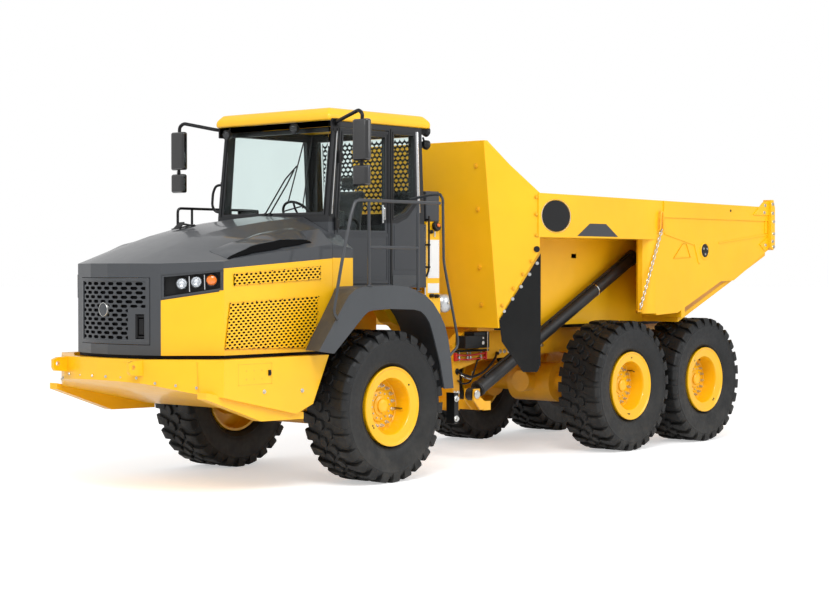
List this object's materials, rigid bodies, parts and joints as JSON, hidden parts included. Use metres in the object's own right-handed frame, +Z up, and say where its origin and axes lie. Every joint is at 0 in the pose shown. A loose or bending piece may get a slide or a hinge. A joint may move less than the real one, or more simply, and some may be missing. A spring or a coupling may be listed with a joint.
{
  "type": "articulated dump truck",
  "caption": "Six-wheel articulated dump truck: cab and engine unit steered and rolled at a pivot behind the cab, rear unit with an open tipping bed.",
  "frame": {"origin": "on the ground under the middle of the bounding box", "axes": "-Y forward, +X to the machine's left, +Z up"},
  "size_m": [2.928, 10.295, 3.8],
  "materials": {
    "yellow_paint": "glossy yellow enamel",
    "grey_paint": "satin dark grey enamel",
    "black_paint": "satin black enamel",
    "black_plastic": "grained black plastic",
    "black_rubber": "smooth black sheet",
    "tyre_rubber": "black tyre rubber",
    "window_glass": "lightly tinted safety glass",
    "seat_cloth": "dark woven cloth",
    "bright_rod": "ground hard chrome",
    "bare_steel": "brushed bare metal"
  },
  "bodies": {
    "root": {"front_frame": "yellow_paint", "front_axle": "yellow_paint", "engine_block": "grey_paint", "bumper": "yellow_paint", "cab_shell": "grey_paint", "cab_roof": "yellow_paint", "windscreen": "window_glass", "rear_window": "window_glass", "side_window_left": "window_glass", "side_window_right": "window_glass", "seat_base": "black_plastic", "seat_pads": "seat_cloth", "dashboard": "black_plastic", "fender_left": "grey_paint", "fender_right": "grey_paint", "cowl": "yellow_paint", "guard_rail_left": "grey_paint", "mirror_left": "black_plastic", "mirror_right": "black_plastic", "hydraulic_tank": "yellow_paint", "air_tank": "bare_steel"},
    "hood_body": {"hood": "grey_paint", "hood_side_left": "yellow_paint", "hood_side_right": "yellow_paint"},
    "grille_body": {"grille_door": "grey_paint"},
    "door_body": {"cab_door": "grey_paint", "door_glass": "window_glass"},
    "yoke_body": {"pivot_yoke": "black_paint"},
    "rear_body": {"rear_frame": "yellow_paint", "middle_axle": "yellow_paint", "rear_axle": "yellow_paint", "walking_beam_left": "yellow_paint", "walking_beam_right": "yellow_paint"},
    "bed_body": {"bed_floor": "yellow_paint", "bed_front_wall": "yellow_paint", "bed_side_left": "yellow_paint", "bed_side_right": "yellow_paint", "bed_underframe": "yellow_paint", "mud_flap_left": "black_rubber", "mud_flap_right": "black_rubber"},
    "tip_barrel_left_body": {"tip_barrel_left": "grey_paint"},
    "tip_rod_left_body": {"tip_rod_left": "bright_rod"},
    "steer_barrel_left_body": {"steer_barrel_left": "grey_paint"},
    "steer_rod_left_body": {"steer_rod_left": "bright_rod"},
    "tip_barrel_right_body": {"tip_barrel_right": "grey_paint"},
    "tip_rod_right_body": {"tip_rod_right": "bright_rod"},
    "steer_barrel_right_body": {"steer_barrel_right": "grey_paint"},
    "steer_rod_right_body": {"steer_rod_right": "bright_rod"},
    "wheel_front_left": {"tyre_front_left": "tyre_rubber", "rim_front_left": "yellow_paint"},
    "wheel_front_right": {"tyre_front_right": "tyre_rubber", "rim_front_right": "yellow_paint"},
    "wheel_middle_left": {"tyre_middle_left": "tyre_rubber", "rim_middle_left": "yellow_paint"},
    "wheel_middle_right": {"tyre_middle_right": "tyre_rubber", "rim_middle_right": "yellow_paint"},
    "wheel_rear_left": {"tyre_rear_left": "tyre_rubber", "rim_rear_left": "yellow_paint"},
    "wheel_rear_right": {"tyre_rear_right": "tyre_rubber", "rim_rear_right": "yellow_paint"}
  },
  "joints": [
    {"name": "steer", "type": "hinge", "parent": "root", "child": "yoke_body", "pos_m": [0, -1.0425, 0.82], "axis": [0, 0, 1], "range_deg": [-45, 45]},
    {"name": "frame_roll", "type": "hinge", "parent": "yoke_body", "child": "rear_body", "pos_m": [0, -0.4925, 0.82], "axis": [0, 1, 0], "range_deg": [-15, 15]},
    {"name": "spin_front_left", "type": "hinge", "parent": "root", "child": "wheel_front_left", "pos_m": [1.12, -2.3925, 0.773], "axis": [1, 0, 0], "continuous": true},
    {"name": "spin_front_right", "type": "hinge", "parent": "root", "child": "wheel_front_right", "pos_m": [-1.12, -2.3925, 0.773], "axis": [1, 0, 0], "continuous": true},
    {"name": "spin_middle_left", "type": "hinge", "parent": "rear_body", "child": "wheel_middle_left", "pos_m": [1.12, 1.8515, 0.773], "axis": [1, 0, 0], "continuous": true},
    {"name": "spin_middle_right", "type": "hinge", "parent": "rear_body", "child": "wheel_middle_right", "pos_m": [-1.12, 1.8515, 0.773], "axis": [1, 0, 0], "continuous": true},
    {"name": "spin_rear_left", "type": "hinge", "parent": "rear_body", "child": "wheel_rear_left", "pos_m": [1.12, 3.4775, 0.773], "axis": [1, 0, 0], "continuous": true},
    {"name": "spin_rear_right", "type": "hinge", "parent": "rear_body", "child": "wheel_rear_right", "pos_m": [-1.12, 3.4775, 0.773], "axis": [1, 0, 0], "continuous": true},
    {"name": "bed_tip", "type": "hinge", "parent": "rear_body", "child": "bed_body", "pos_m": [0, 4.1075, 1.56], "axis": [-1, 0, 0], "range_deg": [0, 70]},
    {"name": "tip_cylinder_turn_left", "type": "hinge", "parent": "rear_body", "child": "tip_barrel_left_body", "pos_m": [0.85, -0.4995, 0.775], "axis": [1, 0, 0], "range_deg": [-3, 3]},
    {"name": "tip_cylinder_stroke_left", "type": "slide", "parent": "tip_barrel_left_body", "child": "tip_rod_left_body", "axis": [0, 0.8982, 0.4395], "range_m": [0, 1.763]},
    {"name": "tip_cylinder_turn_right", "type": "hinge", "parent": "rear_body", "child": "tip_barrel_right_body", "pos_m": [-0.85, -0.4995, 0.775], "axis": [1, 0, 0], "range_deg": [-3, 3]},
    {"name": "tip_cylinder_stroke_right", "type": "slide", "parent": "tip_barrel_right_body", "child": "tip_rod_right_body", "axis": [0, 0.8982, 0.4395], "range_m": [0, 1.763]},
    {"name": "steer_cylinder_turn_left", "type": "hinge", "parent": "root", "child": "steer_barrel_left_body", "pos_m": [0.52, -2.2325, 0.96], "axis": [0, 0, 1], "range_deg": [-8, 8]},
    {"name": "steer_cylinder_stroke_left", "type": "slide", "parent": "steer_barrel_left_body", "child": "steer_rod_left_body", "axis": [-0.0624, 0.9981, 0], "range_m": [-0.34, 0.34]},
    {"name": "steer_cylinder_turn_right", "type": "hinge", "parent": "root", "child": "steer_barrel_right_body", "pos_m": [-0.52, -2.2325, 0.96], "axis": [0, 0, 1], "range_deg": [-8, 8]},
    {"name": "steer_cylinder_stroke_right", "type": "slide", "parent": "steer_barrel_right_body", "child": "steer_rod_right_body", "axis": [0.0624, 0.9981, 0], "range_m": [-0.34, 0.34]},
    {"name": "door_swing", "type": "hinge", "parent": "root", "child": "door_body", "pos_m": [0.835, -2.6675, 2.8], "axis": [0, 0, -1], "range_deg": [0, 38]},
    {"name": "hood_tilt", "type": "hinge", "parent": "root", "child": "hood_body", "pos_m": [0, -5.0325, 1.33], "axis": [1, 0, 0], "range_deg": [0, 60]},
    {"name": "grille_swing", "type": "hinge", "parent": "hood_body", "child": "grille_body", "pos_m": [-0.5, -4.8425, 1.75], "axis": [0, 0, -1], "range_deg": [0, 90]}
  ],
  "couplings": [
    {"joint": "tip_cylinder_turn_left", "follows": "bed_tip", "ratio": -0.020739},
    {"joint": "tip_cylinder_stroke_left", "follows": "bed_tip", "m_per_rad": 1.435},
    {"joint": "tip_cylinder_turn_right", "follows": "bed_tip", "ratio": -0.020739},
    {"joint": "tip_cylinder_stroke_right", "follows": "bed_tip", "m_per_rad": 1.435},
    {"joint": "steer_cylinder_turn_left", "follows": "steer", "ratio": 0.12351},
    {"joint": "steer_cylinder_stroke_left", "follows": "steer", "m_per_rad": 0.41566},
    {"joint": "steer_cylinder_turn_right", "follows": "steer", "ratio": 0.12351},
    {"joint": "steer_cylinder_stroke_right", "follows": "steer", "m_per_rad": -0.41566}
  ]
}
